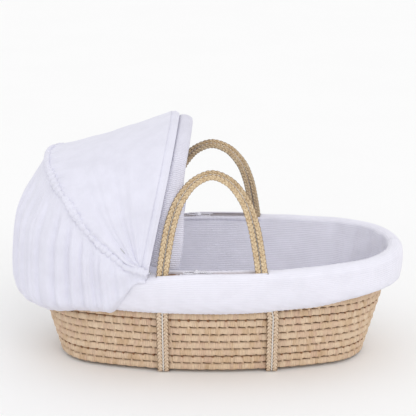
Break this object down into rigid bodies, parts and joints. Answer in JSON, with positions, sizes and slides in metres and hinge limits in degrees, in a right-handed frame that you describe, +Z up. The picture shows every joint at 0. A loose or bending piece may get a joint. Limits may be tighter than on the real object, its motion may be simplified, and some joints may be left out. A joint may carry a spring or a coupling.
{
  "type": "moses basket",
  "caption": "Oval woven infant basket with coiled husk wall, plaited under-straps and carrying handles, gathered fabric liner skirt, mattress and folding fabric hood.",
  "frame": {"origin": "on the floor, under the middle of the whole outline", "axes": "+X to the foot end, the hood at the -X end, +Y to the far long side, +Z up"},
  "size_m": [0.8526, 0.4592, 0.5366],
  "materials": {
    "husk_coil": "dry matte maize husk, wrapped",
    "husk_plait": "dry matte maize husk, plaited",
    "stitching_cord": "matte twine",
    "ribbed_cotton": "soft rib knit",
    "hood_cotton": "smooth plain cotton",
    "mattress_cotton": "quilted cotton",
    "tie_cotton": "soft round cord",
    "foam": "open-cell foam",
    "steel": "plain wire and plate"
  },
  "bodies": {
    "basket": {"base_coils": "husk_coil", "foot_strap_plait_a": "husk_plait", "foot_strap_plait_b": "husk_plait", "foot_strap_stitching": "stitching_cord", "head_strap_plait_a": "husk_plait", "head_strap_plait_b": "husk_plait", "head_strap_stitching": "stitching_cord", "hem_elastic": "ribbed_cotton", "hinge_bracket_back": "steel", "hinge_bracket_front": "steel", "hinge_cap_back": "steel", "hinge_cap_front": "steel", "hinge_pin_back": "steel", "hinge_pin_front": "steel", "hood_rear_panel": "hood_cotton", "liner_skirt": "ribbed_cotton", "liner_wall": "ribbed_cotton", "rim_coil": "husk_coil", "slit_binding_back": "ribbed_cotton", "slit_binding_front": "ribbed_cotton", "tie_cord_back_a": "tie_cotton", "tie_cord_back_b": "tie_cotton", "tie_cord_front_a": "tie_cotton", "tie_cord_front_b": "tie_cotton", "tie_knot_back": "tie_cotton", "tie_knot_front": "tie_cotton", "wall_coil_01": "husk_coil", "wall_coil_02": "husk_coil", "wall_coil_03": "husk_coil", "wall_coil_04": "husk_coil", "wall_coil_05": "husk_coil", "wall_coil_06": "husk_coil", "wall_coil_07": "husk_coil", "wall_coil_08": "husk_coil", "wall_coil_09": "husk_coil", "wall_coil_10": "husk_coil", "wall_coil_11": "husk_coil", "wall_coil_12": "husk_coil"},
    "mattress": {"mattress_core": "foam", "mattress_cover": "mattress_cotton"},
    "handle_front": {"handle_front_plait_a": "husk_plait", "handle_front_plait_b": "husk_plait", "handle_front_stitching": "stitching_cord"},
    "handle_back": {"handle_back_plait_a": "husk_plait", "handle_back_plait_b": "husk_plait", "handle_back_stitching": "stitching_cord"},
    "hood_rear": {"hood_front_panel": "hood_cotton", "hood_rear_hoop": "steel", "hood_ruffle": "hood_cotton"},
    "hood_front": {"hood_cuff": "ribbed_cotton", "hood_front_hoop": "steel", "hood_sleeve": "hood_cotton"}
  },
  "joints": [
    {"name": "handle_front_swing", "type": "hinge", "parent": "basket", "child": "handle_front", "pos_m": [0.0097, -0.21495, 0.2446], "axis": [1, 0, 0], "range_deg": [-5, 80], "stiffness_Nm_per_rad": 1},
    {"name": "handle_back_swing", "type": "hinge", "parent": "basket", "child": "handle_back", "pos_m": [0.0097, 0.21495, 0.2446], "axis": [-1, 0, 0], "range_deg": [0, 105], "stiffness_Nm_per_rad": 1},
    {"name": "hood_rear_fold", "type": "hinge", "parent": "basket", "child": "hood_rear", "pos_m": [-0.1283, 0, 0.257], "axis": [0, -1, 0], "range_deg": [0, 33], "deforming": ["hood_rear_panel"]},
    {"name": "hood_front_fold", "type": "hinge", "parent": "hood_rear", "child": "hood_front", "pos_m": [-0.1283, 0, 0.257], "axis": [0, -1, 0], "range_deg": [0, 32], "deforming": ["hood_front_panel"]},
    {"name": "mattress_lift", "type": "slide", "parent": "basket", "child": "mattress", "axis": [0, 0, 1], "range_m": [0, 0.12]}
  ]
}
